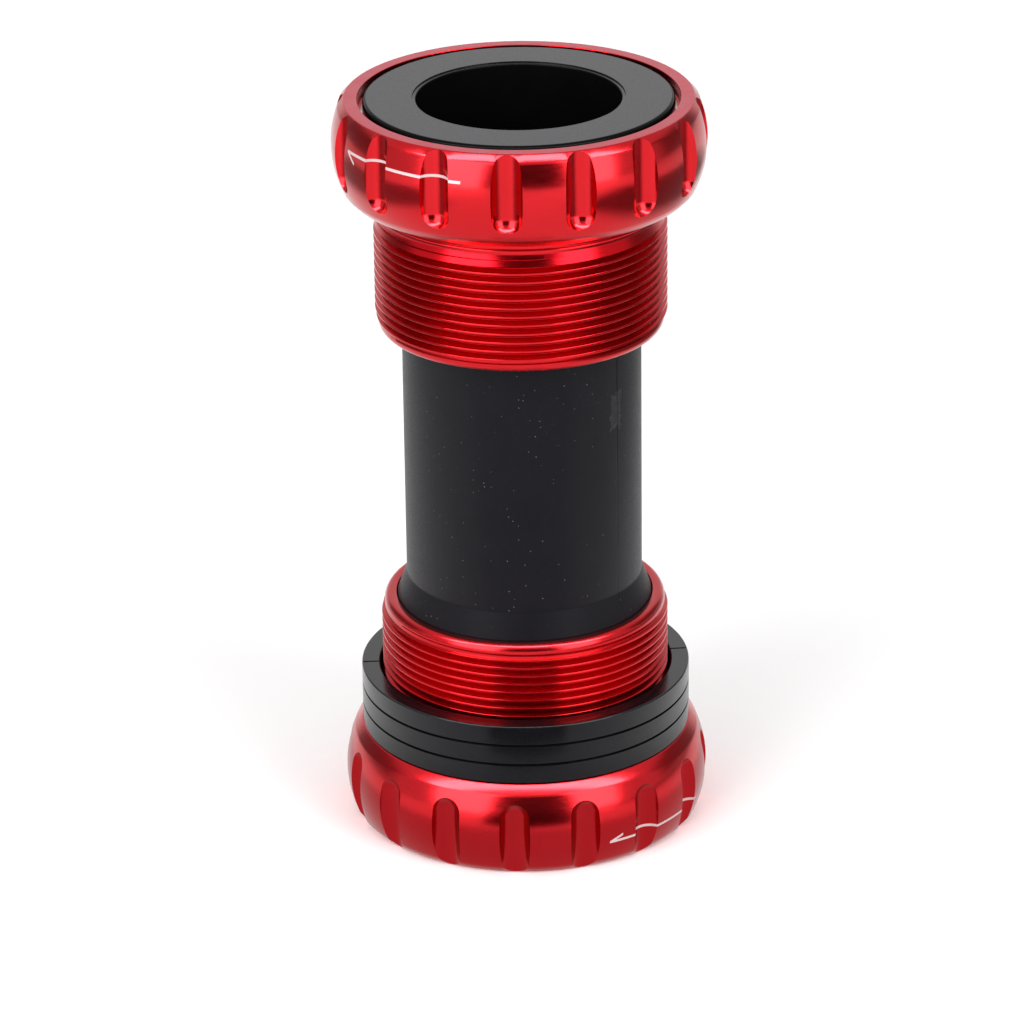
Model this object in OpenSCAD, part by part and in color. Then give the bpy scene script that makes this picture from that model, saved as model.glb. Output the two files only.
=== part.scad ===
// Threaded bottom bracket with outboard bearings, for a bicycle frame.
// Millimetres. +Z runs along the spindle: the right (drive side) cup is at the bottom, the left one on top.
// The origin is in the middle of the lower dust cover's face. Inside a cup, depth t is counted from its rim.

/* [Frame shell] */
// Width of the frame shell between the two cup shoulders
shell_width = 68; // [56:0.5:84]
// Thickness of one spacer ring
spacer_t = 2.5; // [1.5:0.1:3.2]

/* [Spindle and bearing] */
// Diameter of the crank spindle that the dust covers guide
spindle_d = 24; // [19:0.5:25]
// Wall of the dust cover's liner between spindle and inner race
liner_wall = 0.5; // [0.4:0.05:0.8]
// Radial height of the bearing from its bore to its outside
race_section = 6; // [5.6:0.1:7.2]
// Width of the bearing
race_w = 7; // [6.6:0.1:8.4]
// Radial gap between the shoulders of the two races
race_gap = 2.4; // [2:0.1:2.6]
// Diameter of a bearing ball
ball_d = 3.5; // [2.9:0.1:4.2]
// Number of balls in one bearing
ball_count = 17; // [11:1:17]
// Thickness of a bearing seal
seal_t = 0.6; // [0.4:0.05:0.7]
// Depth of a bearing seal below the race faces
seal_inset = 0.2; // [0.1:0.05:0.3]
// Gap between the cage's back ring and the outboard seal
cage_gap = 0.25; // [0.15:0.05:0.3]

/* [Cup] */
// Length of a cup from its rim to its mouth
cup_len = 28; // [24:0.5:34]
// Thickness of the tool flange from its rim to its shoulder
flange_t = 11.35; // [11:0.05:13.6]
// Wall of the flange outside the bearing seat, at its widest
rim_wall = 3.48; // [3:0.02:4.2]
// Width of the shoulder ring beyond the thread
shoulder_w = 2.65; // [2.2:0.05:3.6]
// Radius of the flange's crowned outside
crown_r = 12; // [10.5:0.5:14.4]
// Depth t of the widest point of the crown
crown_t = 5.2; // [4.6:0.1:5.8]
// Depth of the pocket that the dust cover sits in
pocket_t = 1.5; // [1.4:0.05:1.8]
// How much wider than the bearing seat the pocket is, on the radius
pocket_step = 0.34; // [0.2:0.02:0.5]
// Width of the lip between the bearing and the sleeve socket
lip_w = 1.8; // [1.5:0.1:2.2]
// Thickness of the barrel between the thread's root and the socket
barrel_wall = 1.15; // [0.95:0.05:1.4]

/* [Thread] */
// Outside diameter of the thread over its crests
thread_d = 34.6; // [34:0.1:42]
// Pitch of the thread, 24 turns to the inch
thread_pitch = 1.0583; // [0.8:0.0001:1.3]
// Length of the plain neck under the shoulder
neck_l = 1.9; // [1.2:0.1:2.2]
// Distance from the shoulder to the start of the thread, past the neck and the undercut
undercut_l = 3.25; // [2.8:0.05:4]
// Length of the plain pilot at the cup's mouth
pilot_l = 1.65; // [1.4:0.05:2.4]
// Height of the chamfer at the cup's mouth
mouth_chamfer = 1; // [0.8:0.05:1.2]

/* [Tool notches] */
// Number of notches round the flange
notch_count = 16; // [8:1:16]
// Radius of the ball-nosed cutter that makes a notch
notch_r = 1.9; // [1.5:0.1:2.2]
// Depth of a notch below the crown's widest point
notch_depth = 1.5; // [1:0.05:1.8]
// Depth t of the centre of a notch's round end
notch_end_t = 7.7; // [6.5:0.1:8.2]
// Angle of the first notch from the +X axis, in degrees
notch_phase = -4; // [-11:0.5:11]

/* [Dust cover] */
// Thickness of the dust cover's flange
cover_t = 1.3; // [1.1:0.05:1.5]
// How far the cover's face stands out of the cup's rim
cover_proud = 0.1; // [0:0.02:0.3]
// Gap all round between the cover's edge and the rim
cover_gap = 0.63; // [0.4:0.01:0.8]
// Chamfer on the cover's bore
cover_chamfer = 0.39; // [0.2:0.01:0.45]

/* [Sleeve] */
// Outside diameter of the sleeve's tube
tube_d = 28.4; // [27.5:0.1:29]
// Wall of the sleeve's tube
tube_wall = 1.2; // [0.8:0.05:1.4]
// Radial clearance between the sleeve's collar and the cup's socket
collar_clear = 0.15; // [0.05:0.01:0.25]
// Wall of the sleeve's collar
collar_wall = 1.45; // [1.3:0.05:1.6]
// Length of the cone between tube and collar
flare_l = 3.1; // [2:0.1:3.6]
// Free axial play of the sleeve between the two cups
sleeve_float = 3.3; // [3.3:0.1:4.5]
// Diameter of the O-ring's section once fitted
ring_section = 0.84; // [0.6:0.02:0.9]
// Distance from the sleeve's end to the centre of the O-ring
ring_inset = 2.8; // [2:0.1:3.5]

/* [Spacers] */
// Radial clearance between a spacer and the thread
spacer_clear = 0.4; // [0.3:0.05:0.6]
// How far a spacer's edge stays inside the shoulder's edge
spacer_inset = 0.1; // [0.05:0.05:0.5]
// Chamfer on a spacer's outer edges
spacer_chamfer = 0.15; // [0.05:0.05:0.3]

/* [Hidden] */
$fn = 96;
fit_clear = 0.02;        // seats that a race or liner is pressed into
ball_clear = 0.05;       // between a ball and its groove
cage_clear = 0.08;       // between a ball and its cage pocket
ring_clear = 0.04;       // between the O-ring and the socket
lip_clear = 0.15;        // between a seal's lip and the inner race
face_clear = 0.05;       // between the sleeve's end and the left cup's lip
lip_clear_r = 0.5;       // between the cup's lip and the inner race
lip_step = 0.7;          // least step from the sleeve's socket in to the lip
seal_bite = 0.5;         // how far a seal's edge reaches into the outer race
depth_per_pitch = 0.6134;    // depth of a 60 degree thread, as a share of its pitch
undercut_step = 0.05;    // from the thread's root in to the undercut
neck_step = 0.1;         // from the thread's crest in to the neck
pilot_step = 0.35;       // from the thread's crest in to the pilot
mouth_chamfer_r = 0.7;   // radial width of the chamfer at the mouth
shoulder_bevel = 0.32;   // radial width of the bevel at the shoulder
rim_inset = 1.55;        // from the flange's widest point in to the flat rim's edge
eps = 1;                 // how far a cutting shape runs past the face it cuts

bore_r = spindle_d / 2;
race_in = bore_r + liner_wall;
race_out = race_in + race_section;
ball_r = ball_d / 2;
ball_ring = (race_in + race_out) / 2;
inner_shoulder = ball_ring - race_gap / 2;
outer_shoulder = ball_ring + race_gap / 2;
seal_out = outer_shoulder + seal_bite;

seat_r = race_out + fit_clear;
pocket_r = seat_r + pocket_step;
cover_r = pocket_r - cover_gap;
thread_r = thread_d / 2;
thread_depth = depth_per_pitch * thread_pitch;
crest_flat = thread_pitch / 8;
half_mouth = (thread_pitch - crest_flat) / 2;
root_r = thread_r - thread_depth;
undercut_r = root_r - undercut_step;
pilot_r = thread_r - pilot_step;
neck_r = thread_r - neck_step;
mouth_r = pilot_r - mouth_chamfer_r;
socket_r = root_r - barrel_wall;
lip_r = min(inner_shoulder + lip_clear_r, socket_r - lip_step);
seat_end = pocket_t + race_w;
lip_end = seat_end + lip_w;
shoulder_r = thread_r + shoulder_w;
crown_drop = crown_r - sqrt(pow(crown_r, 2) - pow(flange_t - crown_t, 2));
flange_r = max(seat_r + rim_wall, shoulder_r + crown_drop + shoulder_bevel);
shoulder_edge = flange_r - crown_drop - shoulder_bevel;
rim_edge = flange_r - rim_inset;

overall_h = 2 * (flange_t + cover_proud) + shell_width;
left_rim = overall_h - cover_proud;
right_shoulder = cover_proud + flange_t;
spacer_in = thread_r + spacer_clear;
spacer_out = shoulder_edge - spacer_inset;

collar_r = socket_r - collar_clear;
collar_bore = collar_r - collar_wall;
tube_r = tube_d / 2;
tube_bore = tube_r - tube_wall;
sleeve_top = left_rim - lip_end - face_clear;
sleeve_len = shell_width + 2 * (flange_t - lip_end) - face_clear - sleeve_float;
sleeve_foot = sleeve_top - sleeve_len;
collar_l = cup_len - lip_end - sleeve_float;
ring_r = ring_section / 2;
ring_mid = socket_r - ring_clear - ring_r;
groove_floor = ring_mid - ring_r - fit_clear;

red = [0.78, 0.06, 0.11];
steel = [0.78, 0.79, 0.80];
nylon = [0.09, 0.09, 0.10];
cover_grey = [0.22, 0.22, 0.24];
acetal = [0.13, 0.13, 0.15];
rubber = [0.05, 0.05, 0.05];
cage_tan = [0.62, 0.50, 0.33];

// ---- where things stand -------------------------------------------------

// Puts a shape drawn in the cup's own frame, rim at zero, at the right end.
module on_right() {
    translate([0, 0, cover_proud]) children();
}

// The same for the left end, where the cup points the other way.
module on_left() {
    translate([0, 0, left_rim]) mirror([0, 0, 1]) children();
}

// A ring with a rectangular section, from depth t0 to t1.
module ring(r_in, r_out, t0, t1) {
    rotate_extrude() translate([r_in, t0]) square([r_out - r_in, t1 - t0]);
}

// ---- cup ----------------------------------------------------------------

// Section of the crowned tool flange, with a chamfered rim and shoulder.
module flange_section() {
    difference() {
        intersection() {
            square([flange_r + eps, flange_t]);
            translate([flange_r - crown_r, crown_t]) circle(r = crown_r);
        }
        polygon([[rim_edge, 0], [rim_edge + 3, 3], [rim_edge + 3, -eps], [rim_edge, -eps]]);
        polygon([
            [shoulder_edge, flange_t],
            [shoulder_edge + 3, flange_t - 3],
            [shoulder_edge + 3, flange_t + eps],
            [shoulder_edge, flange_t + eps]
        ]);
    }
}

// One groove of the thread: 60 degree flanks, cut short at crest and root.
module thread_groove() {
    half_root = half_mouth - thread_depth * tan(30);
    polygon([
        [root_r, -half_root],
        [thread_r + 0.001, -half_mouth],
        [thread_r + eps, -half_mouth],
        [thread_r + eps, half_mouth],
        [thread_r + 0.001, half_mouth],
        [root_r, half_root]
    ]);
}

// Section of the barrel outside: neck, undercut, thread and plain pilot. The thread ends in a crest.
module barrel_section() {
    thread_from = flange_t + undercut_l;
    thread_to = cup_len - pilot_l;
    turns = floor((thread_to - thread_from) / thread_pitch);
    translate([0, flange_t - eps]) square([neck_r, neck_l + eps]);
    translate([0, flange_t]) square([undercut_r, undercut_l + eps]);
    difference() {
        translate([0, thread_from]) square([thread_r, thread_to - thread_from]);
        for (turn = [1 : turns]) {
            translate([0, thread_to - turn * thread_pitch + half_mouth]) thread_groove();
        }
    }
    polygon([
        [0, thread_to - eps],
        [undercut_r, thread_to - eps],
        [undercut_r, thread_to],
        [pilot_r, thread_to],
        [pilot_r, cup_len - mouth_chamfer],
        [mouth_r, cup_len],
        [0, cup_len]
    ]);
}

// Section of everything bored out of a cup: cover pocket, bearing seat, lip and sleeve socket.
module cup_bore_section() {
    translate([0, -eps]) square([pocket_r, pocket_t + eps]);
    translate([0, pocket_t - eps]) square([seat_r, race_w + eps]);
    translate([0, seat_end - eps]) square([lip_r, lip_w + 2 * eps]);
    translate([0, lip_end]) square([socket_r, cup_len - lip_end + eps]);
}

// A notch cutter: a round bar with a ball nose, open past the rim.
module notch_cutter() {
    rotate_extrude() {
        translate([0, -eps]) square([notch_r, notch_end_t + eps]);
        translate([0, notch_end_t]) intersection() {
            circle(r = notch_r);
            square([notch_r, notch_r]);
        }
    }
}

module cup() {
    notch_axis = flange_r - notch_depth + notch_r;
    difference() {
        rotate_extrude() difference() {
            union() {
                flange_section();
                barrel_section();
            }
            cup_bore_section();
        }
        for (i = [0 : notch_count - 1]) {
            rotate(notch_phase + i * 360 / notch_count) translate([notch_axis, 0, 0]) notch_cutter();
        }
    }
}

// ---- bearing ------------------------------------------------------------

// Section of the track that the balls run in, round the middle of the bearing.
module track_section(clearance) {
    translate([ball_ring, pocket_t + race_w / 2]) circle(r = ball_r + clearance);
}

module outer_race() {
    step = seal_inset + seal_t;
    rotate_extrude() difference() {
        translate([outer_shoulder, pocket_t]) square([race_out - outer_shoulder, race_w]);
        track_section(ball_clear);
        translate([0, pocket_t - eps]) square([seal_out, step + eps]);
        translate([0, seat_end - step]) square([seal_out, step + eps]);
    }
}

module inner_race() {
    rotate_extrude() difference() {
        translate([race_in, pocket_t]) square([inner_shoulder - race_in, race_w]);
        track_section(ball_clear);
    }
}

module balls() {
    for (i = [0 : ball_count - 1]) {
        rotate(i * 360 / ball_count) translate([ball_ring, 0, pocket_t + race_w / 2]) sphere(r = ball_r);
    }
}

// Crown cage: a back ring with a finger between each two balls.
module ball_cage() {
    side = 0.3;
    finger = 0.5 * ball_r;
    back = pocket_t + seal_inset + seal_t + cage_gap;
    middle = pocket_t + race_w / 2;
    pocket = ball_r + cage_clear;
    difference() {
        ring(inner_shoulder + side, outer_shoulder - side, back, middle + finger);
        for (i = [0 : ball_count - 1]) {
            rotate(i * 360 / ball_count) translate([ball_ring, 0, middle]) sphere(r = pocket);
        }
    }
}

// A flat seal held by the outer race, from depth t on.
module seal(t) {
    ring(inner_shoulder + lip_clear, seal_out - fit_clear, t, t + seal_t);
}

module outboard_seal() {
    seal(pocket_t + seal_inset);
}

module inboard_seal() {
    seal(seat_end - seal_inset - seal_t);
}

// ---- dust cover ---------------------------------------------------------

// A top hat: the flange fills the pocket, a land bears on the inner race, a thin liner lines its bore.
module dust_cover() {
    face = -cover_proud;
    land_r = race_in + 0.55 * (inner_shoulder - race_in);
    liner_end = seat_end - 0.5;
    rotate_extrude() difference() {
        union() {
            translate([0, face]) square([cover_r, cover_t]);
            translate([0, face]) square([land_r, pocket_t - face]);
            translate([0, face]) square([race_in - fit_clear, liner_end - face]);
        }
        translate([0, face - eps]) square([bore_r, seat_end + 2 * eps]);
        polygon([
            [bore_r - eps, face - eps],
            [bore_r + cover_chamfer + eps, face - eps],
            [bore_r + cover_chamfer, face],
            [bore_r - eps, face + cover_chamfer + eps]
        ]);
    }
}

// ---- sleeve, O-rings and spacers ---------------------------------------

module sleeve_section() {
    foot = sleeve_foot;
    top = sleeve_top;
    flare_foot = foot + collar_l;
    flare_top = top - collar_l;
    polygon([
        [collar_bore, foot],
        [collar_r, foot],
        [collar_r, flare_foot],
        [tube_r, flare_foot + flare_l],
        [tube_r, flare_top - flare_l],
        [collar_r, flare_top],
        [collar_r, top],
        [collar_bore, top],
        [collar_bore, flare_top],
        [tube_bore, flare_top - flare_l],
        [tube_bore, flare_foot + flare_l],
        [collar_bore, flare_foot]
    ]);
}

// Groove for an O-ring, centred at height z.
module ring_groove_section(z) {
    groove_play = 0.1;
    groove_w = ring_section + groove_play;
    translate([groove_floor, z - groove_w / 2]) square([ring_section + eps, groove_w]);
}

module sleeve() {
    color(nylon) rotate_extrude() difference() {
        sleeve_section();
        ring_groove_section(sleeve_foot + ring_inset);
        ring_groove_section(sleeve_top - ring_inset);
    }
}

module o_ring(z) {
    color(rubber) rotate_extrude() translate([ring_mid, z]) circle(r = ring_r);
}

// A spacer ring; number 0 lies on the right cup's shoulder.
module spacer(number) {
    foot = right_shoulder + number * spacer_t;
    top = foot + spacer_t;
    c = spacer_chamfer;
    color(acetal) rotate_extrude() polygon([
        [spacer_in, foot],
        [spacer_out - c, foot],
        [spacer_out, foot + c],
        [spacer_out, top - c],
        [spacer_out - c, top],
        [spacer_in, top]
    ]);
}

// ---- the nodes ----------------------------------------------------------

module right_cup() { color(red) on_right() cup(); }
module right_outer_race() { color(steel) on_right() outer_race(); }
module right_inner_race() { color(steel) on_right() inner_race(); }
module right_balls() { color(steel) on_right() balls(); }
module right_ball_cage() { color(cage_tan) on_right() ball_cage(); }
module right_outboard_seal() { color(rubber) on_right() outboard_seal(); }
module right_inboard_seal() { color(rubber) on_right() inboard_seal(); }
module right_dust_cover() { color(cover_grey) on_right() dust_cover(); }

module left_cup() { color(red) on_left() cup(); }
module left_outer_race() { color(steel) on_left() outer_race(); }
module left_inner_race() { color(steel) on_left() inner_race(); }
module left_balls() { color(steel) on_left() balls(); }
module left_ball_cage() { color(cage_tan) on_left() ball_cage(); }
module left_outboard_seal() { color(rubber) on_left() outboard_seal(); }
module left_inboard_seal() { color(rubber) on_left() inboard_seal(); }
module left_dust_cover() { color(cover_grey) on_left() dust_cover(); }

module sleeve_o_ring_right() { o_ring(sleeve_foot + ring_inset); }
module sleeve_o_ring_left() { o_ring(sleeve_top - ring_inset); }
module spacer_1() { spacer(0); }
module spacer_2() { spacer(1); }
module spacer_3() { spacer(2); }

right_cup();
right_outer_race();
right_inner_race();
right_balls();
right_ball_cage();
right_outboard_seal();
right_inboard_seal();
right_dust_cover();
left_cup();
left_outer_race();
left_inner_race();
left_balls();
left_ball_cage();
left_outboard_seal();
left_inboard_seal();
left_dust_cover();
sleeve();
sleeve_o_ring_right();
sleeve_o_ring_left();
spacer_1();
spacer_2();
spacer_3();
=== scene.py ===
# %% [markdown]
# # A threaded bottom bracket in red anodised aluminium and black plastic
# A bottom bracket carries the crank spindle of a bicycle in two bearings. Each bearing sits in a turned cup that
# screws into one end of the frame's shell, a plastic sleeve joins the two cups inside the shell, and loose rings
# set the distance on the right side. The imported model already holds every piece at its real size. Here the
# pieces that show get their fine shape and their finish, and the others get a finish only.

# %% Load the fixed frame
from math import atan2, cos, pi, radians, sin, sqrt, tan

import bmesh
import bpy
from mathutils import Matrix, Vector


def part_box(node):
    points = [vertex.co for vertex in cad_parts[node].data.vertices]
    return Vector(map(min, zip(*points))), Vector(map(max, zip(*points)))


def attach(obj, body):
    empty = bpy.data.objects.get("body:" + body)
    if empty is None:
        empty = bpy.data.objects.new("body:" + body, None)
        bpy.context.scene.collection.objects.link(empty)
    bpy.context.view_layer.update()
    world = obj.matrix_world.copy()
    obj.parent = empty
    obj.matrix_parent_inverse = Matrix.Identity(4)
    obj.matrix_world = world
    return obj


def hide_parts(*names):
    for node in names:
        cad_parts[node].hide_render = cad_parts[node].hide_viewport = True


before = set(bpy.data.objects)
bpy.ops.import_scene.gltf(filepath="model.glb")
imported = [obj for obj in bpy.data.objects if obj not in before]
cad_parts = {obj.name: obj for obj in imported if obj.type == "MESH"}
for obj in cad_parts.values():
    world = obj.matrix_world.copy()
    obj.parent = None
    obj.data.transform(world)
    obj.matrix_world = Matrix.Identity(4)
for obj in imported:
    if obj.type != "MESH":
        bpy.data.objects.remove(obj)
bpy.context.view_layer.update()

# %% [markdown]
# ## Millimetres, and where things stand
# Blender works in metres here, and turned parts are drawn in millimetres, so every size below is multiplied by MM
# once, where a mesh is made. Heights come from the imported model: the right cup's rim is the bottom of its box, the
# left cup's rim is the top of its box. Inside a cup, depth is counted from its rim, so both cups share one drawing.

# %% Places taken from the frame
MM = 0.001
FRONT = radians(-90)

right_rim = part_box("right_cup")[0].z / MM
left_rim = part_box("left_cup")[1].z / MM
flange_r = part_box("left_cup")[1].x / MM
print("rims at %.2f and %.2f mm, flange radius %.2f mm" % (right_rim, left_rim, flange_r))

# %% [markdown]
# ## The camera
# A long lens from far away keeps the two flanges almost the same size, as a product picture does. The camera looks
# down on the part by a little over 23 degrees and leans by less than one. The order matters: the lean is a turn
# about the line of sight, so it is the last turn, in the camera's own frame. The Standard view transform leaves the
# colours as they are, so a white floor can stay white.

# %% Camera
camera_place = (0, -0.5702, 0.2846)
camera_pitch = radians(90 - 23.38)
camera_lean = radians(-0.68)

camera_data = bpy.data.cameras.new("camera")
camera_data.sensor_width = 36
camera_data.lens = 181.56
camera_data.shift_x = -0.01145
camera_data.clip_end = 50
camera = bpy.data.objects.new("camera", camera_data)
camera.matrix_world = (
    Matrix.Translation(camera_place)
    @ Matrix.Rotation(camera_pitch, 4, "X")
    @ Matrix.Rotation(camera_lean, 4, "Z")
)
bpy.context.scene.collection.objects.link(camera)
bpy.context.scene.camera = camera
bpy.context.scene.view_settings.view_transform = "Standard"

# %% [markdown]
# ## Drawing a turned piece
# A lathe cuts a profile round an axis, and the spin operator does the same. A profile is a closed wire of points
# (radius, depth), so the spun surface is closed from the start. A corner that catches the light is rounded in the
# profile itself, with an arc between its two straight sides. The other corners get their small rounding afterwards,
# from the bevel operator on every edge that is sharper than a given angle. A spun mesh can come out inside out, so
# its normals are made to point outwards before anything else uses them.

# %% Profile, spin and bevel
TURN_STEPS = 192


def arc(centre_r, centre_t, radius, start, end, steps):
    """Points (radius, depth) along an arc, with the angles in degrees from the outward direction."""
    angles = [radians(start + (end - start) * i / steps) for i in range(steps + 1)]
    return [(centre_r + radius * cos(a), centre_t + radius * sin(a)) for a in angles]


def fillet(before, corner, after, radius, steps=4):
    """Points that round one corner of a profile."""
    p, c, q = Vector(before), Vector(corner), Vector(after)
    a, b = (p - c).normalized(), (q - c).normalized()
    half = a.angle(b) / 2
    centre = c + (a + b).normalized() * (radius / sin(half))
    first = c + a * (radius / tan(half)) - centre
    last = c + b * (radius / tan(half)) - centre
    return [tuple(centre + first.lerp(last, i / steps).normalized() * radius) for i in range(steps + 1)]


def turned(profile, steps=TURN_STEPS, rounding=0.06, segments=2, sharp=28):
    """A bmesh of the closed profile spun about Z, in millimetres, with its sharp rings rounded."""
    bm = bmesh.new()
    verts = [bm.verts.new((r, 0, t)) for r, t in profile]
    for a, b in zip(verts, verts[1:] + verts[:1]):
        bm.edges.new((a, b))
    bmesh.ops.spin(bm, geom=bm.verts[:] + bm.edges[:], cent=(0, 0, 0), axis=(0, 0, 1),
                   angle=2 * pi, steps=steps, use_merge=True)
    bmesh.ops.recalc_face_normals(bm, faces=bm.faces[:])
    if rounding:
        rings = [e for e in bm.edges if len(e.link_faces) == 2 and e.calc_face_angle() > radians(sharp)]
        bmesh.ops.bevel(bm, geom=rings, offset=rounding, offset_type="OFFSET", affect="EDGES",
                        segments=segments, profile=0.5, material=-1, clamp_overlap=False)
    return bm


# %% [markdown]
# ## From a bmesh to a piece
# A finished piece keeps its object at the origin and has its place in its mesh, so a pattern on Object coordinates
# stays put. Faces are shaded smooth, and an edge sharper than a limit stays crisp. The Weighted Normal modifier
# then lets the large faces decide, so a small rounding bends the light only where the rounding is. A piece for the
# left end is drawn in a cup's own depths, like one for the right end, and turned over at the last moment.

# %% Piece
def on_right(bm):
    """Moves a shape drawn in a cup's depths to the right end."""
    bmesh.ops.translate(bm, vec=(0, 0, right_rim), verts=bm.verts[:])
    return bm


def on_left(bm):
    """Turns a shape drawn in a cup's depths over to the left end."""
    flip = Matrix.Translation((0, 0, left_rim)) @ Matrix.Diagonal((1, 1, -1, 1))
    bmesh.ops.transform(bm, matrix=flip, verts=bm.verts[:])
    bmesh.ops.reverse_faces(bm, faces=bm.faces[:])
    return bm


def piece(name, bm, crease=32):
    """Makes an object from a bmesh in millimetres, shaded smooth with crisp edges."""
    bmesh.ops.scale(bm, vec=(MM, MM, MM), verts=bm.verts[:])
    mesh = bpy.data.meshes.new(name)
    bm.to_mesh(mesh)
    bm.free()
    mesh.shade_smooth()
    mesh.set_sharp_from_angle(angle=radians(crease))
    made = bpy.data.objects.new(name, mesh)
    bpy.context.scene.collection.objects.link(made)
    normals = made.modifiers.new("weighted_normal", "WEIGHTED_NORMAL")
    normals.keep_sharp = True
    normals.weight = 60
    return made


def cut(bm, cutter):
    """Takes the cutter's volume off a bmesh, and returns the result."""
    made = []
    for name, source in (("blank", bm), ("cutter", cutter)):
        mesh = bpy.data.meshes.new(name)
        source.to_mesh(mesh)
        source.free()
        made.append(bpy.data.objects.new(name, mesh))
        bpy.context.scene.collection.objects.link(made[-1])
    blank, tool = made
    boolean = blank.modifiers.new("cut", "BOOLEAN")
    boolean.operation = "DIFFERENCE"
    boolean.solver = "EXACT"
    boolean.object = tool
    result = bmesh.new()
    result.from_object(blank, bpy.context.evaluated_depsgraph_get())
    for thing in made:
        bpy.data.objects.remove(thing)
    return result


def count(label, bm):
    """Prints the number of faces, and any edge that isn't shared by exactly two faces."""
    open_edges = sum(1 for e in bm.edges if len(e.link_faces) != 2)
    print("%s: %d faces, %d open edges" % (label, len(bm.faces), open_edges))


# %% [markdown]
# ## The cup's profile
# One closed outline holds everything that the lathe makes: the flat satin rim, its chamfer, the crowned outside of
# the flange, the rounded shoulder, the neck with its fine groove, a step down to the thread's root, the cone on which
# the thread runs out, the barrel that is threaded later, and the rounded mouth. The way back runs through the
# sleeve's socket, the lip, the bearing's seat and the pocket of the dust cover. The crown is an arc, so only its
# centre and radius are written down, and each chamfer is found as a 45 degree line that meets it.

# %% Cup sizes, in millimetres
flange_t = 11.35
cup_len = 28.0
crown_r = 12.0
crown_t = 5.2
crown_middle = flange_r - crown_r
rim_edge = flange_r - 1.55
shoulder_edge = 19.87
pocket_round, rim_round, shoulder_round = 0.10, 0.30, 0.45

pitch = 25.4 / 24
thread_r = 17.3
thread_depth = 0.70
root_r = thread_r - thread_depth
neck_r = thread_r - 0.1
groove_t = flange_t + 1.38
groove_half, groove_depth = 0.1, 0.2
ring_t = flange_t + 1.95
cone_r = root_r + 0.04
cone_t = ring_t + 0.24
thread_from = flange_t + 4.1
thread_to = cup_len - 1.65
pilot_r = thread_r - 0.35
mouth_r = pilot_r - 0.7
mouth_l = 1.0

socket_r = 15.5
socket_t = 10.3
lip_r = socket_r - 0.7
lip_t = 8.5
seat_r = 18.52
pocket_r = 18.86
pocket_t = 1.5


# %% Cup profile
def crown_angle(r, t):
    """The angle of a point on the crown, in degrees from the outward direction."""
    return atan2(t - crown_t, r - crown_middle) * 180 / pi


def chamfer_end(edge_r, edge_t, side):
    """Where a 45 degree chamfer from (edge_r, edge_t) meets the crown; side is 1 towards the mouth, else -1."""
    across = edge_r - crown_middle
    along = (edge_t - crown_t) * side
    spare = 2 * (across * across + along * along - crown_r ** 2)
    run = (sqrt((across + along) ** 2 - spare) - (across + along)) / 2
    return edge_r + run, edge_t + run * side


def cup_profile():
    """The closed outline of a cup, from the pocket's floor round by the rim to the mouth and back inside."""
    rim_crown = chamfer_end(rim_edge, 0, 1)
    shoulder_crown = chamfer_end(shoulder_edge, flange_t, -1)
    pocket_floor, pocket_edge = (pocket_r, pocket_t), (pocket_r, 0)
    rim, shoulder, neck = (rim_edge, 0), (shoulder_edge, flange_t), (neck_r, flange_t)
    outline = [pocket_floor] + fillet(pocket_floor, pocket_edge, rim, pocket_round)
    outline += fillet(pocket_edge, rim, rim_crown, rim_round)
    outline += arc(crown_middle, crown_t, crown_r, crown_angle(*rim_crown), crown_angle(*shoulder_crown), 22)
    outline += fillet(shoulder_crown, shoulder, neck, shoulder_round) + [neck]
    outline += [(neck_r, groove_t - groove_half), (neck_r - groove_depth, groove_t)]
    outline += [(neck_r, groove_t + groove_half)]
    outline += [(neck_r, ring_t), (cone_r, ring_t + 0.14), (cone_r, cone_t)]
    outline += [(thread_r, thread_from), (thread_r, thread_to), (pilot_r, thread_to)]
    for a in [radians(9 * i) for i in range(11)]:
        outline.append((mouth_r + (pilot_r - mouth_r) * cos(a), cup_len - mouth_l * (1 - sin(a))))
    outline += [(socket_r, cup_len), (socket_r, socket_t), (lip_r, socket_t), (lip_r, lip_t)]
    return outline + [(seat_r, lip_t), (seat_r, pocket_t)]


# %% [markdown]
# ## Tool notches
# Sixteen notches let a ring spanner grip the flange. They are milled with a ball-nosed cutter that enters from the
# rim and stops short of the shoulder, so each has a straight floor and a round end. The cutter is spun about its own
# axis, then set on the notch circle once for each notch, and all sixteen are taken off in one cut.

# %% Notch cutters
notch_count = 16
notch_r = 1.9
notch_axis = flange_r - 1.5 + notch_r
notch_end_t = 7.7
notch_phase = radians(-4)


def notch_cutters():
    """One bmesh with every notch cutter in its place, in millimetres."""
    bm = bmesh.new()
    above_rim = -1
    for number in range(notch_count):
        angle = notch_phase + number * 2 * pi / notch_count
        nose = [bm.verts.new((notch_r * cos(a), 0, notch_end_t + notch_r * sin(a)))
                for a in [radians(90 * i / 10) for i in range(11)]]
        chain = nose[::-1] + [bm.verts.new((notch_r, 0, above_rim)), bm.verts.new((0, 0, above_rim))]
        edges = [bm.edges.new(pair) for pair in zip(chain, chain[1:])]
        bmesh.ops.spin(bm, geom=chain + edges, cent=(0, 0, 0), axis=(0, 0, 1),
                       angle=2 * pi, steps=56, use_merge=True)
        fresh = [v for v in bm.verts if v.tag is False]
        place = Matrix.Rotation(angle, 4, "Z") @ Matrix.Translation((notch_axis, 0, 0))
        bmesh.ops.transform(bm, matrix=place, verts=fresh)
        for v in fresh:
            v.tag = True
    bmesh.ops.remove_doubles(bm, verts=bm.verts[:], dist=0.0005)
    bmesh.ops.recalc_face_normals(bm, faces=bm.faces[:])
    return bm


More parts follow.
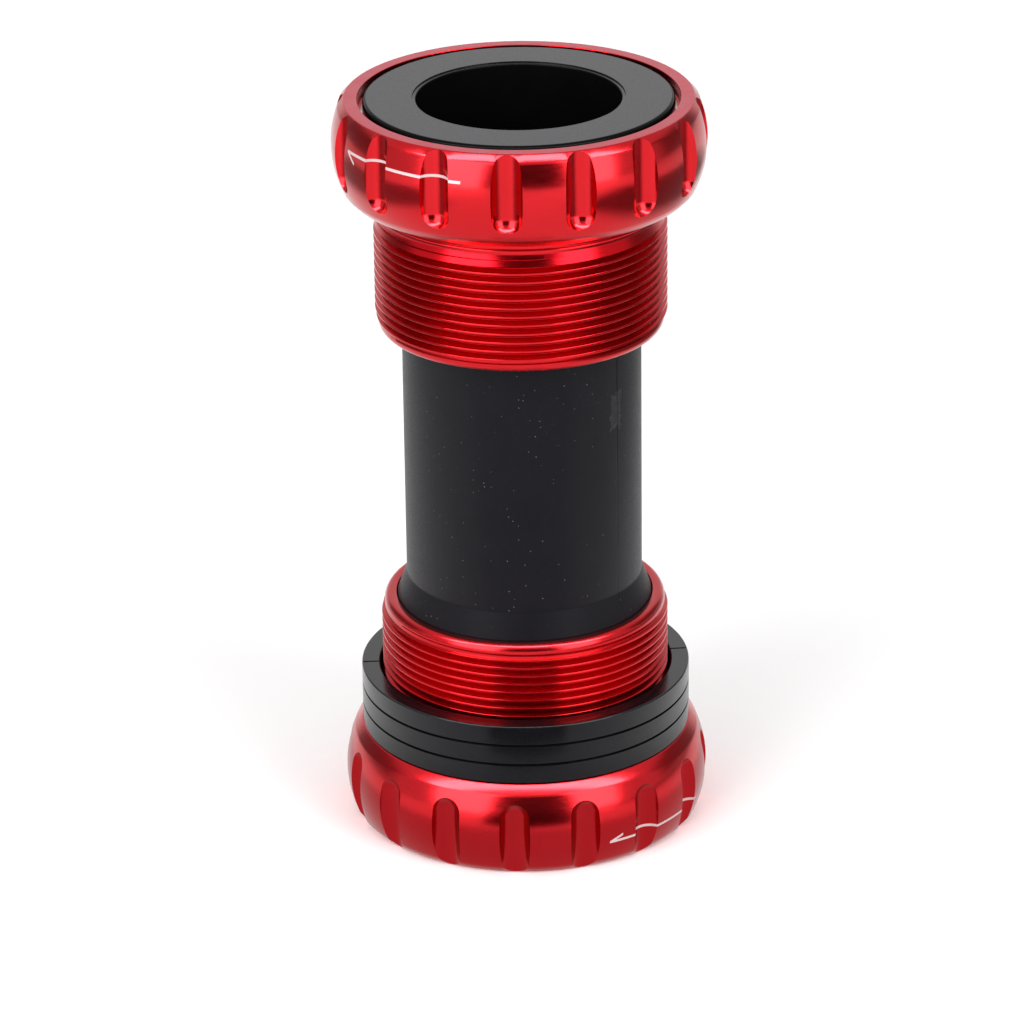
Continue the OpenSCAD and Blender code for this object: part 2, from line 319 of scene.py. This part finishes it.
# %% [markdown]
# ## The thread
# The thread is a real helix: one flat-bottomed V section, spun about the axis while it advances by one pitch a turn.
# It starts at a shallow depth in the plain end of the barrel, as a lathe tool does when it comes in. In its last turn
# the tool draws back, so the groove grows shallow on the cone and fades out before the neck. The section's outer
# corners lean a little, which leaves a fine slope on each side of the narrow crest. The right cup has a left-hand
# thread. The left cup is its mirror image, which turns the same helix into a right-hand one.

# %% Thread cutter
crest_land = 0.16
slope_r, slope_t = 0.02, 0.035
past_crest = 0.05
start_angle = FRONT + radians(-60)
start_t = thread_to + pitch * 2 / 3 - 0.066
end_t = ring_t + 0.45
start_lift, end_lift = 0.24, 0.32
lift_in_steps, lift_out_steps = TURN_STEPS * 2 // 5, TURN_STEPS


def groove_section():
    """The corners (radius, place along the axis) of the groove, with the groove's middle at 0."""
    half_mouth = (pitch - crest_land) / 2
    half_top = half_mouth - slope_t
    half_root = half_top - (thread_depth - slope_r) * tan(radians(30))
    low_side = [(root_r, -half_root), (thread_r - slope_r, -half_top), (thread_r, -half_mouth),
                (thread_r + past_crest, -half_mouth)]
    return low_side + [(r, -t) for r, t in low_side[::-1]]


def thread_cutter():
    """The groove of the right cup's left-hand thread as one closed helical bar, in millimetres."""
    section = groove_section()
    steps = round((start_t - end_t) / pitch * TURN_STEPS)
    bm = bmesh.new()
    corners = [bm.verts.new((r * cos(start_angle), r * sin(start_angle), start_t + t)) for r, t in section]
    face = bm.faces.new(corners)
    bmesh.ops.spin(bm, geom=corners + face.edges[:] + [face], cent=(0, 0, 0), axis=(0, 0, 1),
                   dvec=(0, 0, -pitch / TURN_STEPS), angle=2 * pi * steps / TURN_STEPS, steps=steps)
    bm.verts.ensure_lookup_table()
    per_ring = len(section)
    for ring in range(steps + 1):
        lift = start_lift * max(0, 1 - ring / lift_in_steps)
        lift += end_lift * max(0, 1 - (steps - ring) / lift_out_steps)
        for v in bm.verts[per_ring * ring:per_ring * (ring + 1)]:
            outward = Vector((v.co.x, v.co.y, 0)).normalized()
            v.co += outward * lift
    bmesh.ops.recalc_face_normals(bm, faces=bm.faces[:])
    return bm


# %% [markdown]
# ## Both cups from one cut
# A boolean leaves very short edges where two cuts almost meet, so close points are merged and edges and points that
# are left without a face are taken away. The two cups are the same mesh, one of them turned over.

# %% Cut the cup, and turn a copy over for the left
cup_blank = turned(cup_profile(), rounding=0.03)
count("cup blank", cup_blank)
notches = notch_cutters()
count("notch cutters", notches)
helix = thread_cutter()
count("thread cutter", helix)
cup_cut = cut(cut(cup_blank, notches), helix)
bmesh.ops.remove_doubles(cup_cut, verts=cup_cut.verts[:], dist=0.004)
bmesh.ops.dissolve_degenerate(cup_cut, edges=cup_cut.edges[:], dist=0.002)
bmesh.ops.delete(cup_cut, geom=[e for e in cup_cut.edges if not e.link_faces], context="EDGES")
bmesh.ops.delete(cup_cut, geom=[v for v in cup_cut.verts if not v.link_faces], context="VERTS")
count("cup", cup_cut)

left_cut = on_left(cup_cut.copy())
right_cup = piece("right_cup_turned", on_right(cup_cut), crease=26)
left_cup = piece("left_cup_turned", left_cut, crease=26)

# %% [markdown]
# ## Sleeve, spacers and dust covers
# These are moulded or turned in black plastic. All are rings, so each is one profile and one spin. The spacers and
# the sleeve get a soft rounding from the bevel, and a cover has its round edge and the step at its bore in its
# profile.

# %% Sleeve
sleeve_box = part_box("sleeve")
sleeve_foot = sleeve_box[0].z / MM
sleeve_top = sleeve_box[1].z / MM
collar_r = sleeve_box[1].x / MM
collar_bore = collar_r - 1.45
collar_l = 14.4
tube_r = 14.2
tube_bore = 13.0
flare_l = 3.1
ring_inset = 2.8
ring_half = 0.47
ring_floor = collar_r - 0.73


def ring_groove(z):
    """Three sides of an O-ring groove in the sleeve's collar, from low to high."""
    low, high = z - ring_half, z + ring_half
    return [(collar_r, low), (ring_floor, low), (ring_floor, high), (collar_r, high)]


flare_foot = sleeve_foot + collar_l
flare_top = sleeve_top - collar_l
sleeve_profile = [(collar_bore, sleeve_foot), (collar_r, sleeve_foot)]
sleeve_profile += ring_groove(sleeve_foot + ring_inset)
sleeve_profile += [(collar_r, flare_foot), (tube_r, flare_foot + flare_l)]
sleeve_profile += [(tube_r, flare_top - flare_l), (collar_r, flare_top)]
sleeve_profile += ring_groove(sleeve_top - ring_inset)
sleeve_profile += [(collar_r, sleeve_top), (collar_bore, sleeve_top), (collar_bore, flare_top)]
sleeve_profile += [(tube_bore, flare_top - flare_l), (tube_bore, flare_foot + flare_l), (collar_bore, flare_foot)]
sleeve_bm = turned(sleeve_profile, rounding=0.12, sharp=15)
count("sleeve", sleeve_bm)
sleeve = piece("sleeve_moulded", sleeve_bm)

# %% Spacers
spacers = []
inner = thread_r + 0.4
for number in (1, 2, 3):
    low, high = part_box("spacer_%d" % number)
    foot, top, outer = low.z / MM, high.z / MM, high.x / MM
    spacer_bm = turned([(inner, foot), (outer, foot), (outer, top), (inner, top)], rounding=0.20, segments=3)
    spacers.append(piece("spacer_ring_%d" % number, spacer_bm))
    print("spacer %d from %.2f to %.2f mm" % (number, foot, top))

# %% Dust covers
cover_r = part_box("left_dust_cover")[1].x / MM
cover_back = 1.2
edge_round = 0.55
proud = 0.1
bore_r = 12.0
step_r = bore_r + 0.42
step_t = 0.12
bore_edge = 0.10
land_r = 13.49
liner_r = 12.48
liner_end = 8.0


def cover_profile():
    """A dust cover in a cup's own depths: a flange with a round edge, a land on the inner race and a thin liner."""
    outline = [(bore_r, liner_end), (bore_r, step_t * 2), (bore_r + bore_edge, step_t), (step_r, step_t)]
    outline += [(step_r, -proud)]
    outline += arc(cover_r - edge_round, edge_round - proud, edge_round, -90, 0, 6)
    outline += [(cover_r, cover_back), (land_r, cover_back), (land_r, pocket_t), (liner_r, pocket_t)]
    return outline + [(liner_r, liner_end)]


left_cover = piece("left_cover_moulded", on_left(turned(cover_profile(), rounding=0.05)))
right_cover = piece("right_cover_moulded", on_right(turned(cover_profile(), rounding=0.05)))

# %% [markdown]
# ## A small kit for materials
# A material here is a Principled shader with a few node chains in front of it. The helpers below only save typing:
# they add a node, set its values and join it up. Patterns read Object coordinates in metres, so their scale is real.

# %% Material helpers
class Finish:
    """A new material with its Principled shader, and short ways to add and join nodes."""

    def __init__(self, name, color, **settings):
        self.material = bpy.data.materials.new(name)
        self.material.use_nodes = True
        self.tree = self.material.node_tree
        self.shader = self.tree.nodes["Principled BSDF"]
        self.shader.inputs["Base Color"].default_value = (*color, 1)
        for socket, value in settings.items():
            self.shader.inputs[socket.replace("_", " ")].default_value = value
        self.place = self.add("ShaderNodeTexCoord").outputs["Object"]

    def add(self, kind, inputs=None, **settings):
        """A node with its settings, and inputs given by name or number as values or as sockets to join."""
        node = self.tree.nodes.new(kind)
        for key, value in settings.items():
            setattr(node, key, value)
        for key, value in (inputs or {}).items():
            if isinstance(value, bpy.types.NodeSocket):
                self.tree.links.new(value, node.inputs[key])
            else:
                node.inputs[key].default_value = value
        return node

    def math(self, operation, *values, clamp=False):
        """The result of a Math node."""
        return self.add("ShaderNodeMath", dict(enumerate(values)), operation=operation, use_clamp=clamp).outputs[0]

    def part(self, axis):
        """One coordinate of the point, in millimetres."""
        split = self.add("ShaderNodeSeparateXYZ", {"Vector": self.place})
        return self.math("DIVIDE", split.outputs[axis], MM)

    def angle(self):
        """Degrees round the axis, from the front towards +X."""
        forward = self.math("MULTIPLY", self.part("Y"), -1.0)
        return self.math("MULTIPLY", self.math("ARCTAN2", self.part("X"), forward), 180 / pi)

    def near(self, value, target, half, soft):
        """1 within half of the target, falling to 0 over soft."""
        away = self.math("ABSOLUTE", self.math("SUBTRACT", value, target))
        return self.ramp(away, half, half + soft, 1.0, 0.0)

    def both(self, a, b):
        """1 where both masks are 1."""
        return self.math("MULTIPLY", a, b)

    def either(self, a, b):
        """1 where one of the masks is 1."""
        return self.math("MAXIMUM", a, b)

    def noise(self, scale, detail=3, stretch=(1, 1, 1), roughness=0.5):
        """Noise with this many lumps to the millimetre; stretch squeezes it along an axis."""
        mapped = self.add("ShaderNodeMapping", {"Vector": self.place, "Scale": stretch}).outputs[0]
        settings = {"Vector": mapped, "Scale": scale / MM, "Detail": detail, "Roughness": roughness}
        return self.add("ShaderNodeTexNoise", settings).outputs["Fac"]

    def ramp(self, value, low, high, to_low=0.0, to_high=1.0):
        """A value carried from one range to another, held inside it."""
        settings = {0: value, 1: low, 2: high, 3: to_low, 4: to_high}
        return self.add("ShaderNodeMapRange", settings, clamp=True).outputs[0]

    def mix(self, factor, a, b):
        """A colour between a and b."""
        ends = [end if isinstance(end, bpy.types.NodeSocket) else (*end, 1) for end in (a, b)]
        return self.add("ShaderNodeMix", {0: factor, 6: ends[0], 7: ends[1]}, data_type="RGBA").outputs[2]

    def bump(self, height, distance, under=None):
        """A bump from a height between 0 and 1, worth this many millimetres."""
        settings = {"Height": height, "Distance": distance * MM, "Strength": 1.0}
        if under:
            settings["Normal"] = under
        return self.add("ShaderNodeBump", settings).outputs[0]

    def join(self, **sockets):
        """Joins results to the shader's inputs."""
        for socket, value in sockets.items():
            self.tree.links.new(value, self.shader.inputs[socket.replace("_", " ")])
        return self.material


# %% [markdown]
# ## Anodised aluminium
# Anodising leaves the metal's mirror under a thin clear layer of dye, so it reflects in its own red and turns pale
# only at a glancing angle. That is a metal with a saturated colour and a weak coat. The lathe leaves rings that are
# too fine to see one by one, so they are noise squeezed along Z, and they change the roughness more than the shape.
# The rim is faced last and stays satin. In the thread's groove, on the cone and in the cover's pocket the red is
# painted deeper and the coat weaker: painted shade for the light that is reflected more than once between the flanks.
# A laser marks a plain arrow through the dye, on the angle and depth where a fitter looks for the turning direction.

# %% Anodised red
ANODISED_RED = (0.51, 0.0070, 0.0125)
DEEP_RED = (0.48, 0.006, 0.010)
SATIN_RED = (0.55, 0.009, 0.038)
# painted shade: a deeper red for the thread's groove, the cone and the cover's pocket
GROOVE_SHADE_RED = (0.48, 0.004, 0.009)
ETCHED = (0.47, 0.37, 0.37)
NO_TINT, GLARE_RED = (1.0, 1.0, 1.0), (1.0, 0.12, 0.14)


def arrow_mark(finish, rim_z, line_t, tip, tail, barb, barb_t):
    """A mask for a plain arrow: a line round the cup and half a barb at its tip; angles in degrees, depths in mm."""
    half_line, soft, soft_angle = 0.14, 0.05, 0.2
    angle = finish.angle()
    depth = finish.math("ABSOLUTE", finish.math("SUBTRACT", finish.part("Z"), rim_z))
    along = finish.near(angle, (tip + tail) / 2, abs(tail - tip) / 2, soft_angle)
    line = finish.both(finish.near(depth, line_t, half_line, soft), along)
    share = finish.ramp(angle, tip, barb)
    slanted = finish.math("MULTIPLY_ADD", share, barb_t - line_t, line_t)
    beside = finish.math("ABSOLUTE", finish.math("SUBTRACT", depth, slanted))
    on_barb = finish.ramp(beside, half_line, half_line + soft, 1.0, 0.0)
    span = finish.near(angle, (tip + barb) / 2, abs(barb - tip) / 2, soft_angle)
    return finish.either(line, finish.both(on_barb, span))


def anodised(name, rough, rings, coat, arrow=None, red=ANODISED_RED, deep=DEEP_RED, low=None):
    """The red metal; rough is its mean roughness, rings the height of the turning marks in millimetres. Over the
    range in low, the glare of a flat face that is seen very low turns from white to red."""
    finish = Finish(name, red, Metallic=1.0, Roughness=rough, Coat_Weight=coat, Coat_Roughness=rough * 0.8)
    cloud = finish.noise(0.12, 2)
    fine = finish.noise(1.0, 4, stretch=(0.6, 0.6, 14))
    color = finish.mix(finish.ramp(cloud, 0.35, 0.65), deep, red)
    gloss = finish.ramp(fine, 0.3, 0.7, rough * 0.8, rough * 1.25)
    if arrow:
        mask = arrow_mark(finish, *arrow)
        color = finish.mix(mask, color, ETCHED)
        gloss = finish.math("MULTIPLY_ADD", mask, 0.4, gloss)
        finish.join(Metallic=finish.ramp(mask, 0, 1, 1.0, 0.3))
    if low:
        facing = finish.add("ShaderNodeLayerWeight", {"Blend": 0.5}).outputs["Facing"]
        finish.join(Specular_Tint=finish.mix(finish.ramp(facing, *low), NO_TINT, GLARE_RED))
        finish.join(Coat_Weight=finish.ramp(facing, *low, coat, 0.04))
    finish.join(Base_Color=color, Roughness=gloss, Normal=finish.bump(fine, rings))
    return finish.material


left_arrow = (left_rim, 3.2, -64.4, -18.1, -60.0, 4.3)
right_arrow = (right_rim, 3.3, 26.9, 69.4, 31.3, 4.0)
polished_left = anodised("anodised_left", 0.18, 0.0010, 0.22, left_arrow)
polished_right = anodised("anodised_right", 0.20, 0.0010, 0.22, right_arrow)
satin = anodised("anodised_satin", 0.30, 0.003, 0.38, red=SATIN_RED, deep=(0.52, 0.008, 0.034), low=(0.71, 0.77))
shoulder_satin = anodised("anodised_shoulder", 0.26, 0.002, 0.22, low=(0.61, 0.69))
# painted shade: the groove, the cone and the pocket get a deeper red and a weaker coat
groove_shade_red = anodised("anodised_groove_shade", 0.20, 0.0010, 0.08, red=GROOVE_SHADE_RED, deep=(0.46, 0.003, 0.008))

# %% [markdown]
# ## Black plastics
# All of them are dark enough that the gloss is most of what shows, so the gloss is set: low where a face is
# seen straight on and higher towards the edge-on view. A flat face can lose its gloss again when it is seen very
# low, so that it doesn't turn white. Grain gives the surface its bite, and a few cells of a Voronoi pattern are
# pale specks of dust.

# %% Black plastics
DUST = (0.6, 0.6, 0.62)
# black for the painted shade in the spacers' creases and for their witness lines
SHADE_AND_MARK_BLACK = (0.001, 0.001, 0.001)


def plastic(name, color, rough, grain, grain_height, gloss=(0.4, 0.5), specks=0.0, turn=(0.10, 0.60), fall=None):
    """Moulded plastic, before it is joined up. grain is in lumps to the millimetre and grain_height in millimetres.
    gloss goes from its first to its second value over the range in turn, and back down over the range in fall."""
    finish = Finish(name, color, Roughness=rough, IOR=1.49)
    facing = finish.add("ShaderNodeLayerWeight", {"Blend": 0.5}).outputs["Facing"]
    finish.shine = finish.ramp(facing, *turn, *gloss)
    if fall:
        finish.shine = finish.math("MULTIPLY", finish.shine, finish.ramp(facing, *fall, 1.0, 0.002))
    texture = finish.noise(grain, 3)
    patches = finish.noise(0.25, 2)
    finish.tone = finish.mix(finish.ramp(patches, 0.3, 0.7), color, tuple(c * 1.2 for c in color))
    if specks:
        dots = finish.add("ShaderNodeTexVoronoi", {"Vector": finish.place, "Scale": 1.5 / MM})
        shade = finish.add("ShaderNodeSeparateColor", {"Color": dots.outputs["Color"]})
        near = finish.ramp(dots.outputs["Distance"], 0.07, 0.12, 1.0, 0.0)
        few = finish.math("LESS_THAN", shade.outputs["Red"], specks)
        pale = finish.math("MULTIPLY", shade.outputs["Green"], 0.16)
        dust = finish.both(finish.both(near, few), pale)
        finish.tone = finish.mix(dust, finish.tone, DUST)
    finish.height = finish.bump(texture, grain_height)
    finish.join(Roughness=finish.ramp(texture, 0.3, 0.7, rough * 0.85, rough * 1.15))
    return finish


def plain(finish):
    """Joins a plastic up as it is."""
    return finish.join(Base_Color=finish.tone, Normal=finish.height, Specular_IOR_Level=finish.shine)


cover_finish = plastic("cover_satin_plastic", (0.006, 0.005, 0.008), 0.30, 4.0, 0.004, gloss=(0.12, 0.57),
                       specks=0.03, fall=(0.70, 0.77))
cover_plastic = plain(cover_finish)
# painted shade: a blacker, duller plastic for the bore and the round outer edge of each dust cover
shade_black_plastic = plain(plastic("cover_painted_shade_black", (0.002, 0.002, 0.002), 0.22, 3.0, 0.002, gloss=(0.02, 0.06)))
seal_rubber = plain(plastic("seal_rubber_black", (0.008, 0.008, 0.008), 0.55, 2.5, 0.01))
cage_nylon = plain(plastic("cage_nylon_natural", (0.50, 0.38, 0.22), 0.42, 2.0, 0.006))

# %% [markdown]
# ## Marks of the mould, and painted shade
# The two halves of the sleeve's mould leave a fine line on each side, which is faint towards the right end, and the
# plastic came in through a gate that leaves a rough patch beside one line. The cone is a little duller than the
# tube. A spacer has a fine witness line across its upper face on both sides. At the foot of each spacer, where it
# lies on the next one or on the cup, a black band without gloss is painted shade for the crease between the parts.

# %% Sleeve plastic
SEAM_BLACK = (0.0015, 0.0015, 0.0015)
GATE_GREY = (0.011, 0.011, 0.013)
seam_angle = 51.5
seam_fades = (46.0, 53.0)

sleeve_finish = plastic("sleeve_nylon", (0.0036, 0.0034, 0.0050), 0.46, 5.0, 0.010, gloss=(0.075, 0.43),
                        specks=0.34, turn=(0.13, 0.86))
around_axis = sleeve_finish.angle()
seam = sleeve_finish.either(
    sleeve_finish.near(around_axis, seam_angle, 0.22, 0.25),
    sleeve_finish.near(around_axis, seam_angle - 180, 0.22, 0.25),
)
seam = sleeve_finish.both(seam, sleeve_finish.ramp(sleeve_finish.part("Z"), *seam_fades, 0.25, 0.85))
gate_wave = sleeve_finish.noise(0.9, 3)
gate_angle = sleeve_finish.math("MULTIPLY_ADD", gate_wave, 7.0, around_axis)
gate_height = sleeve_finish.math("MULTIPLY_ADD", gate_wave, 2.5, sleeve_finish.part("Z"))
gate = sleeve_finish.both(
    sleeve_finish.near(gate_angle, 54.0, 3.2, 0.6),
    sleeve_finish.near(gate_height, 56.0, 1.9, 0.3),
)
on_cone = sleeve_finish.near(sleeve_finish.part("Z"), flare_foot + flare_l / 2, flare_l / 2, 0.2)
sleeve_tone = sleeve_finish.mix(seam, sleeve_finish.tone, SEAM_BLACK)
sleeve_tone = sleeve_finish.mix(gate, sleeve_tone, GATE_GREY)
sleeve_relief = sleeve_finish.bump(seam, -0.05, under=sleeve_finish.height)
sleeve_shine = sleeve_finish.math("MULTIPLY", sleeve_finish.shine, sleeve_finish.ramp(on_cone, 0, 1, 1.0, 0.65))
sleeve_plastic = sleeve_finish.join(
    Base_Color=sleeve_tone,
    Specular_IOR_Level=sleeve_finish.math("MULTIPLY", sleeve_shine, sleeve_finish.ramp(seam, 0, 1, 1.0, 0.05)),
    Normal=sleeve_finish.bump(sleeve_finish.both(gate, gate_wave), 0.25, under=sleeve_relief),
)

# %% Spacer plastic
spacer_color, spacer_look = (0.0030, 0.0030, 0.0040), (0.18, 3.0, 0.0015, (0.14, 0.52), 0.01)


def dulled(finish, mask, relief):
    """Joins a plastic up with its gloss and colour taken away under a mask, which also sinks by relief."""
    return finish.join(
        Base_Color=finish.mix(mask, finish.tone, SHADE_AND_MARK_BLACK),
        Specular_IOR_Level=finish.math("MULTIPLY", finish.shine, finish.ramp(mask, 0, 1, 1.0, 0.03)),
        Normal=finish.bump(mask, -relief, under=finish.height),
    )


side_finish = plastic("spacer_acetal", spacer_color, *spacer_look)
spacer_z = side_finish.part("Z")
# painted shade: a black band without gloss at the foot of each ring, where it lies on the next one
seam_shade = 0.0
for number, half in ((1, 0.10), (2, 0.13), (3, 0.13)):
    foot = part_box("spacer_%d" % number)[0].z / MM
    seam_shade = side_finish.either(seam_shade, side_finish.near(spacer_z, foot, half, 0.05))
spacer_plastic = dulled(side_finish, seam_shade, 0.0)

face_finish = plastic("spacer_acetal_face", spacer_color, *spacer_look, fall=(0.61, 0.69))
face_angle = face_finish.angle()
witness = face_finish.either(
    face_finish.near(face_angle, -87.0, 0.42, 0.25),
    face_finish.near(face_angle, 95.5, 0.42, 0.25),
)
spacer_face = dulled(face_finish, witness, 0.15)

# %% Bearing steel
def steel(name, color, rough):
    """Ground steel, with fine rings round the axis."""
    finish = Finish(name, color, Metallic=1.0, Roughness=rough)
    rings = finish.noise(1.2, 4, stretch=(0.5, 0.5, 18))
    finish.join(
        Base_Color=finish.mix(finish.noise(0.3, 2), tuple(c * 0.9 for c in color), color),
        Roughness=finish.ramp(rings, 0.3, 0.7, rough * 0.75, rough * 1.3),
        Normal=finish.bump(rings, 0.001),
    )
    return finish.material


race_steel = steel("race_steel", (0.62, 0.62, 0.63), 0.20)
ball_steel = steel("ball_steel_polished", (0.70, 0.70, 0.71), 0.06)

# %% [markdown]
# ## Finishes on the pieces
# A cup has four finishes: satin on the flat rim and a finer one on the flat shoulder, a deeper red painted as shade
# in the thread's groove, on the cone and in the cover's pocket, and the polished red elsewhere. Which face gets which
# is told from its depth under the rim, its radius and its normal. The imported pieces that have no finer shape keep
# theirs and get a finish only.

# %% Put the finishes on
def cup_slot(depth, radius, slope):
    """0 polished, 1 satin, 2 deeper red painted as groove shade, 3 shoulder, for a face at this depth and radius;
    slope is its normal's share along Z."""
    if depth < 0.02 and slope > 0.9:
        return 1
    if abs(depth - flange_t) < 0.02 and slope > 0.9:
        return 3
    on_cone_face = ring_t + 0.05 < depth < thread_from - 0.02 and radius > 16
    in_pocket = depth < 1.6 and radius < pocket_r + 0.02
    on_barrel = ring_t + 0.3 < depth < thread_to and radius > 16
    in_groove = on_barrel and (slope > 0.7 or radius < root_r + 0.03)
    return 2 if in_groove or on_cone_face or in_pocket else 0


for cup, polished, rim in ((right_cup, polished_right, right_rim), (left_cup, polished_left, left_rim)):
    for material in (polished, satin, groove_shade_red, shoulder_satin):
        cup.data.materials.append(material)
    for polygon in cup.data.polygons:
        depth = abs(polygon.center.z / MM - rim)
        radius = polygon.center.xy.length / MM
        polygon.material_index = cup_slot(depth, radius, abs(polygon.normal.z))

sleeve.data.materials.append(sleeve_plastic)
for ring in spacers:
    ring.data.materials.append(spacer_plastic)
    ring.data.materials.append(spacer_face)
    for polygon in ring.data.polygons:
        polygon.material_index = 1 if polygon.normal.z > 0.9 else 0
# painted shade: the bore and the round outer edge of a dust cover get the blacker, duller plastic
for cover in (right_cover, left_cover):
    cover.data.materials.append(cover_plastic)
    cover.data.materials.append(shade_black_plastic)
    for polygon in cover.data.polygons:
        radius = polygon.center.xy.length / MM
        in_bore = radius < bore_r + 0.12 or (radius < step_r + 0.03 and abs(polygon.normal.z) < 0.3)
        polygon.material_index = 1 if in_bore or radius > cover_r - 0.42 else 0

node_finish = {
    "outer_race": race_steel, "inner_race": race_steel, "balls": ball_steel, "ball_cage": cage_nylon,
    "outboard_seal": seal_rubber, "inboard_seal": seal_rubber,
}
dressed = [("%s_%s" % (side, part), finish) for side in ("right", "left") for part, finish in node_finish.items()]
dressed += [("sleeve_o_ring_right", seal_rubber), ("sleeve_o_ring_left", seal_rubber)]
for name, finish in dressed:
    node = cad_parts[name]
    node.data.materials.clear()
    node.data.materials.append(finish)
print("finishes on", len(dressed), "packed pieces")

# %% [markdown]
# ## Pieces on their bodies
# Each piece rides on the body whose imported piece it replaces, so the joints carry it. A dust cover turns with the
# crank spindle, so it rides on the spindle seat and not on the cup.

# %% Tie every piece to its body
for cup, side in ((right_cup, "right"), (left_cup, "left")):
    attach(cup, side + "_cup")
    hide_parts(side + "_cup")
for cover, side in ((right_cover, "right"), (left_cover, "left")):
    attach(cover, side + "_spindle_seat")
    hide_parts(side + "_dust_cover")
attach(sleeve, "sleeve")
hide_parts("sleeve")
for number, ring in enumerate(spacers, start=1):
    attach(ring, "spacer_%d" % number)
    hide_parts("spacer_%d" % number)

# %% [markdown]
# ## Floor and light
# Polished metal shows its surroundings, so the light is placed by what the metal should mirror: a pale floor and
# pale surroundings all round, a tall soft box on each side in front, and a soft panel overhead that only draws the
# pale line along the upper edges. Lights are hidden from the camera.

# %% Floor
floor_bm = bmesh.new()
bmesh.ops.create_grid(floor_bm, x_segments=1, y_segments=1, size=6)
floor_mesh = bpy.data.meshes.new("floor")
floor_bm.to_mesh(floor_mesh)
floor_bm.free()
floor = bpy.data.objects.new("floor", floor_mesh)
bpy.context.scene.collection.objects.link(floor)
paper = Finish("paper_white", (0.86, 0.86, 0.86), Roughness=0.8, Specular_IOR_Level=0.2)
paper.join(Base_Color=paper.mix(paper.noise(0.004, 2), (0.85, 0.85, 0.85), (0.87, 0.87, 0.87)))
floor.data.materials.append(paper.material)

# %% World and lights
world = bpy.data.worlds.new("studio")
world.use_nodes = True
world.node_tree.nodes["Background"].inputs["Color"].default_value = (1, 1, 1, 1)
world.node_tree.nodes["Background"].inputs["Strength"].default_value = 0.88
bpy.context.scene.world = world

TARGET = Vector((0, 0, 0.045))


def around(azimuth, elevation, distance):
    """A point round the part: azimuth in degrees from the front towards +X, elevation up from level."""
    a, e = radians(azimuth), radians(elevation)
    return TARGET + Vector((sin(a) * cos(e), -cos(a) * cos(e), sin(e))) * distance


def soft_box(name, azimuth, elevation, distance, width, height, radiance):
    """A rectangular area light that faces the part; radiance is how bright its face looks."""
    data = bpy.data.lights.new(name, "AREA")
    data.shape = "RECTANGLE"
    data.size = width
    data.size_y = height
    data.energy = radiance * pi * width * height
    light = bpy.data.objects.new(name, data)
    light.location = around(azimuth, elevation, distance)
    light.rotation_euler = (TARGET - light.location).to_track_quat("-Z", "Y").to_euler()
    light.visible_camera = False
    bpy.context.scene.collection.objects.link(light)
    return light


soft_box("box_left", -41, 20, 0.9, 0.60, 0.80, 5.6)
soft_box("box_right", 44, 20, 0.9, 0.46, 0.80, 5.6)
panel = soft_box("panel_top", 0, 65, 0.9, 2.2, 0.26, 20.0)
panel.visible_diffuse = False

# %% [markdown]
# ## Dark cards
# Between the two boxes the metal mirrors something dark, which draws the dark patch down the middle of each flange,
# and to the sides it mirrors the dim part of a room. Cards stand there. Only reflections see them: they cast no
# shadow, give no light of their own to matt surfaces, and the camera looks through them. A card's face has a
# radiance of its own and soft edges, so its mirror image is soft too. The small cards near the foot are painted
# shade: they stand for the floor's shade close to the part, as the metal mirrors it.

# %% Dark cards
def card(name, place, width, height, radiance, soft=0.2, round_card=False):
    """A card that only reflections see, with soft edges; place is its matrix, and its face is its own XY plane."""
    bm = bmesh.new()
    bmesh.ops.create_grid(bm, x_segments=1, y_segments=1, size=0.5)
    mesh = bpy.data.meshes.new(name)
    bm.to_mesh(mesh)
    bm.free()
    made = bpy.data.objects.new(name, mesh)
    made.matrix_world = place @ Matrix.Diagonal((width, height, 1, 1))
    bpy.context.scene.collection.objects.link(made)
    made.visible_camera = made.visible_shadow = made.visible_diffuse = False
    cloth = Finish(name, (0, 0, 0), Specular_IOR_Level=0.0, Emission_Color=(1, 1, 1, 1), Emission_Strength=radiance)
    split = cloth.add("ShaderNodeSeparateXYZ", {"Vector": cloth.place})
    if round_card:
        squares = [cloth.math("POWER", split.outputs[i], 2.0) for i in (0, 1)]
        mask = cloth.ramp(cloth.math("SQRT", cloth.math("ADD", *squares)), 0.5 - soft, 0.5, 1.0, 0.0)
    else:
        sides = [cloth.math("ABSOLUTE", split.outputs[i]) for i in (0, 1)]
        mask = cloth.both(*[cloth.ramp(side, 0.5 - soft, 0.5, 1.0, 0.0) for side in sides])
    made.data.materials.append(cloth.join(Alpha=mask))


def facing_part(azimuth, elevation, distance):
    """The matrix of a card that faces the part from this side."""
    place = around(azimuth, elevation, distance)
    return Matrix.Translation(place) @ (TARGET - place).to_track_quat("Z", "Y").to_matrix().to_4x4()


def lying(x, y, height):
    """The matrix of a card that lies over the floor."""
    return Matrix.Translation((x, y, height))


card("gap_front", facing_part(4, 12, 1.0), 0.98, 0.76, 0.08, soft=0.18)
card("flag_left", facing_part(-118, 12, 1.0), 1.15, 0.80, 0.25)
card("flag_right", facing_part(118, 12, 1.0), 1.15, 0.80, 0.25)
upright = Matrix.Rotation(radians(90), 4, "X")
# painted shade: a dim upright card in front of the foot, for the floor's shade close to the part
card("low_shade_card", Matrix.Translation((0.0007, -0.050, 0.0045)) @ upright, 0.044, 0.011, 0.02, soft=0.08)
card("floor_left", lying(-0.23, 0.02, 0.0004), 0.22, 0.44, 0.35, soft=0.15)
card("floor_right", lying(0.20, 0.02, 0.0004), 0.24, 0.44, 0.25, soft=0.15)
# painted shade: a dim round card under the foot, for the floor's shade close to the part
card("foot_shade_card", lying(0, 0, 0.0002), 0.092, 0.092, 0.74, soft=0.1, round_card=True)
